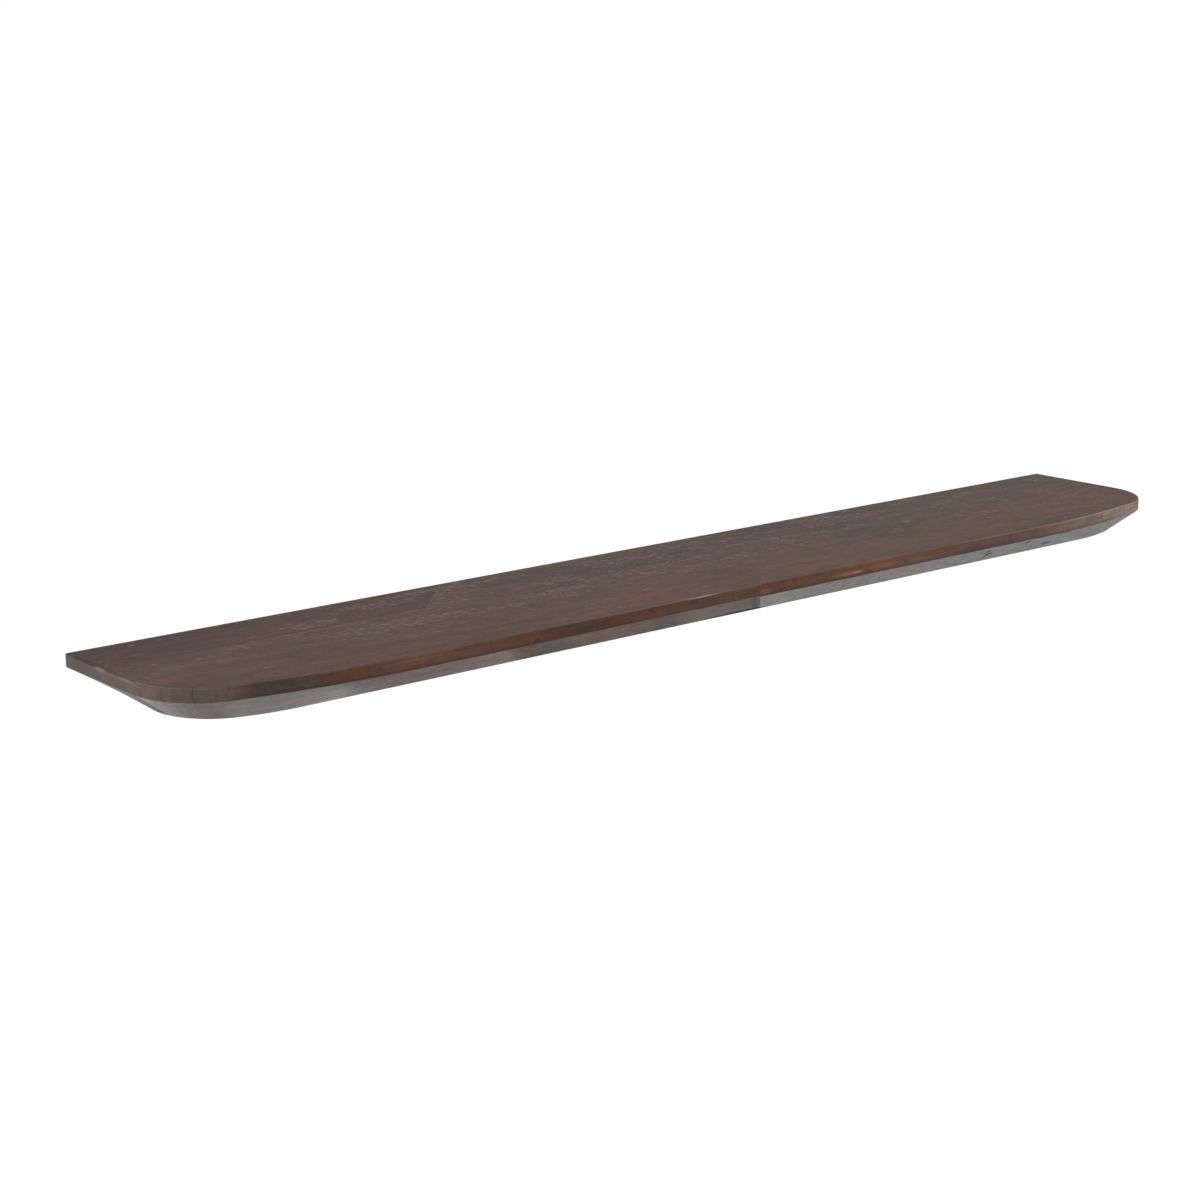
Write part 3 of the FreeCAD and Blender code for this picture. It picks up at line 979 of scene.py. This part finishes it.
plate_low, plate_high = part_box("support_plate_2")
plate_width = plate_high.x - plate_low.x
plate_height = plate_high.z - plate_low.z
plate = new_piece("support_plates", oblong_solid(0, [
    (y, plate_width - 2 * inset, plate_height - 2 * inset, plate_corner - inset) for y, inset in (
        (plate_low.y, plate_deburr), (plate_low.y + plate_deburr, 0), (plate_high.y - plate_deburr, 0),
        (plate_high.y, plate_deburr))]))
for side in (-1, 1):
    cut_away(plate, oblong_solid(side * screw_gap / 2, [
        (y, 2 * radius, 2 * radius + slot_travel, radius) for y, radius in (
            (plate_low.y - cutter_overrun, slot_seat), (plate_low.y, slot_seat),
            (plate_low.y + slot_seat - slot_neck, slot_neck), (cutter_overrun, slot_neck))]))
row_tree = support_row()
plate_nodes = [f"support_plate_{i + 1}" for i in range(support_count)]
repeat_at_supports(plate, 1, plated_steel(), plate_nodes)


# Support rods: lengths of 12 mm drawn steel bar, chamfered at the tip and fillet welded upright on the
# plates. The weld went once round in short overlapping ripples, and its heat left a straw and a blue band.
rod_steps = 192
rod_chamfer = 0.0015
weld_ripples = 19
weld_ripple = 0.00022
weld_lean = 5
weld_profile = [(0.0084, 0), (0.0082, 0.0004), (0.0078, 0.0009), (0.0073, 0.0014), (0.0068, 0.0019),
                (0.0063, 0.0023)]
bar_rings = (weld_leg, 0.004, 0.03, 0.06, 0.09)
drawn_steel = (0.47, 0.47, 0.48)
scale_steel = (0.24, 0.23, 0.22)
weld_grey = (0.16, 0.15, 0.145)
heat_blue = (0.13, 0.16, 0.27)
heat_straw = (0.44, 0.33, 0.17)
heat_colours = [(0.0, weld_grey), (0.024, weld_grey), (0.030, heat_blue), (0.055, heat_blue),
                (0.085, heat_straw), (0.14, drawn_steel)]
heat_amounts = [(0.0, 1.0), (0.06, 0.9), (0.09, 0.8), (0.15, 0.0)]
heat_waver = 0.006
drawing_lines = (2600, 25, 2600)
drawing_levels = (0.4, 0.7, 0.0, 0.35)
drawing_rough = 0.14
drawing_relief = (0.2, 0.0001)
scale_grain = (70, 70, 4, 0.6)
scale_levels = (0.50, 0.66)
scale_rough = (0.35, 0.7, 0.24, 0.42)


def drawn_bar(foot_y, tip_y):
    """Cold-drawn bar: fine lines along it, faint scale, and bands of heat colour near its weld."""
    paint, tree, here = new_paint("drawn_steel")
    lines = noises(tree, here, drawing_lines)[0]
    cloud = grain(tree, here, *scale_grain)
    colour = tinted(tree, graded(tree, cloud, *scale_levels), drawn_steel, scale_steel)
    colour = tinted(tree, graded(tree, lines, *drawing_levels), colour, scale_steel)
    uneven = times(tree, maths(tree, "SUBTRACT", cloud, 0.5), heat_waver)
    from_foot = plus(tree, maths(tree, "SUBTRACT", foot_y, parts(tree, here)["Y"]), uneven)
    heat = put(tree, "ShaderNodeMapRange", [(0, from_foot), (1, 0.0), (2, foot_y - tip_y)]).outputs[0]
    colour = tinted(tree, levelled(tree, heat, heat_amounts), colour, banded(tree, heat, heat_colours))
    rough = plus(tree, graded(tree, cloud, *scale_rough), times(tree, lines, drawing_rough))
    return coat(paint, colour, rough, lines, *drawing_relief, metal=1.0)


def weld_wave(y, turn):
    """The weld bead's ripples, deepest at the middle of its face and gone at its edges."""
    share = min(1, max(0, (plate_low.y - y) / weld_leg))
    return -weld_ripple * math.sin(math.pi * share) * (1 + math.cos(weld_ripples * turn + weld_lean * share))


tip_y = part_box("support_rod_2")[0].y
rod_profile = [(0, plate_low.y)]
rod_profile += [(radius, plate_low.y - drop) for radius, drop in weld_profile]
rod_profile += [(rod_radius, plate_low.y - drop) for drop in bar_rings]
rod_profile += [(rod_radius, tip_y + rod_chamfer), (rod_radius - rod_chamfer, tip_y), (0, tip_y)]
rod = new_piece("support_rods", turned(rod_profile, 0, 0, rod_steps, weld_wave))
rod_nodes = [f"support_rod_{i + 1}" for i in range(support_count)]
repeat_at_supports(rod, 1, drawn_bar(plate_low.y, tip_y), rod_nodes)


# Wall screws: two countersunk 5 x 60 mm chipboard screws through each plate. They have a cross recess
# and a rolled, sharp-crested thread that runs to the point, and are passivated a mottled yellow.
screw_steps = 28
head_radius = 0.0048
head_land = 0.00025
thread_radius = 0.0025
root_radius = 0.0017
neck_radius = 0.0019
neck_taper = 0.0007
neck_run_in = 0.0004
thread_start = 0.006
thread_pitch = 0.0026
thread_rings = 9
thread_width = 0.17
point_length = 0.006
recess_arm = 0.0026
recess_levels = [(1.15, 0.26, -0.0006), (0.95, 0.21, 0.0002), (0.35, 0.14, 0.0024)]
passivated = (0.68, 0.56, 0.30)
passivated_pink = (0.66, 0.46, 0.34)
passivated_green = (0.50, 0.56, 0.34)
film_grain = (260, 260, 2)
film_colours = [(0.36, passivated_green), (0.46, passivated), (0.54, passivated), (0.64, passivated_pink)]
zinc_grain = (700, 700, 2)
zinc_rough = (0.3, 0.7, 0.24, 0.42)
screw_tip_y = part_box("wall_screws_left")[1].y


def thread_rise(y, turn):
    """The sharp-crested ridge that winds round the shank, dying away at the point."""
    fade = between(y, thread_start, thread_start + thread_pitch)
    room = min(thread_radius - root_radius, max(0, (screw_tip_y - y) * thread_radius / point_length))
    away = abs((y / thread_pitch - turn / (2 * math.pi)) % 1 - 0.5)
    return fade * room * max(0, 1 - away / thread_width)


def plus_sign(arm, width, y):
    """Corner points of a cross, seen end on."""
    points = [(arm, width), (width, width), (width, arm)]
    for _ in range(3):
        points += [(-z, x) for x, z in points[-3:]]
    return [(x, y, z) for x, z in points]


def yellow_zinc():
    """Yellow passivated zinc, whose thin film shifts to pink and green in patches."""
    paint, tree, here = new_paint("yellow_zinc")
    colour = banded(tree, grain(tree, here, *film_grain), film_colours)
    return coat(paint, colour, graded(tree, grain(tree, here, *zinc_grain), *zinc_rough), metal=1.0)


neck_y = plate_low.y + head_radius - thread_radius
thread_length = screw_tip_y - point_length - thread_start
screw_profile = [(0, plate_low.y), (head_radius - head_land, plate_low.y), (head_radius, plate_low.y + head_land),
                 (thread_radius, neck_y), (neck_radius, neck_y + neck_taper),
                 (neck_radius, thread_start - neck_run_in), (root_radius, thread_start)]
ring_count = math.ceil(thread_length / thread_pitch * thread_rings)
screw_profile += [(root_radius, thread_start + thread_length * i / ring_count) for i in range(1, ring_count + 1)]
for i in range(1, 2 * thread_rings):
    share = i / (2 * thread_rings)
    screw_profile.append((root_radius * (1 - share), screw_tip_y - point_length * (1 - share)))
screw_profile.append((0, screw_tip_y))
screw = new_piece("wall_screws", turned(screw_profile, 0, 0, screw_steps, thread_rise))
cut_away(screw, loft([plus_sign(recess_arm * arm, recess_arm * width, plate_low.y + depth)
                      for arm, width, depth in recess_levels]))
repeat_at_supports(screw, 2, yellow_zinc(), ["wall_screws_left", "wall_screws_right"])


# Wall plugs: two moulded grey nylon plugs of 8 x 50 mm behind each plate, pushed into drilled holes.
# Barbs ring them, and they are split from the far end so that the screw spreads them in the wall.
plug_steps = 40
plug_radius = 0.004
plug_waist = 0.0035
plug_collar = 0.003
plug_end = 0.001
plug_end_taper = 0.0003
barb_pitch = 0.004
barb_land = 0.0009
plug_bore = 0.00255
plug_split = 0.0008
plug_split_length = 0.032
plug_grey = (0.33, 0.34, 0.35)
plug_shade = (0.26, 0.27, 0.285)
melt_grain = (150, 150, 3)
melt_levels = (0.38, 0.64)
nylon_rough = (0.3, 0.7, 0.40, 0.55)


def moulded_nylon():
    """Dyed nylon, slightly clouded where the melt cooled, with a soft sheen."""
    paint, tree, here = new_paint("grey_nylon")
    cloud = grain(tree, here, *melt_grain)
    colour = tinted(tree, graded(tree, cloud, *melt_levels), plug_grey, plug_shade)
    return coat(paint, colour, graded(tree, cloud, *nylon_rough))


plug_low, plug_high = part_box("wall_plugs_left")
plug_profile = [(0, plug_low.y), (plug_radius, plug_low.y), (plug_radius, plug_low.y + plug_collar),
                (plug_waist, plug_low.y + plug_collar + barb_land)]
barb_y = plug_low.y + plug_collar + 2 * barb_land
while barb_y + barb_pitch < plug_high.y - barb_pitch / 2:
    plug_profile += [(plug_waist, barb_y), (plug_radius, barb_y + barb_land),
                     (plug_radius, barb_y + 2 * barb_land), (plug_waist, barb_y + barb_pitch - barb_land)]
    barb_y += barb_pitch
plug_profile += [(plug_waist, plug_high.y - plug_end), (plug_waist - plug_end_taper, plug_high.y),
                 (0, plug_high.y)]
plug = new_piece("wall_plugs", turned(plug_profile, 0, 0, plug_steps))
past_plug = plug_high.y + cutter_overrun
cut_away(plug, turned([(0, 0), (plug_bore, 0), (plug_bore, past_plug), (0, past_plug)], 0, 0, plug_steps))
cut_away(plug, oblong_solid(0, [(y, 4 * plug_radius, plug_split, plug_split / 4)
                                for y in (plug_high.y - plug_split_length, past_plug)]))
repeat_at_supports(plug, 2, moulded_nylon(), ["wall_plugs_left", "wall_plugs_right"])
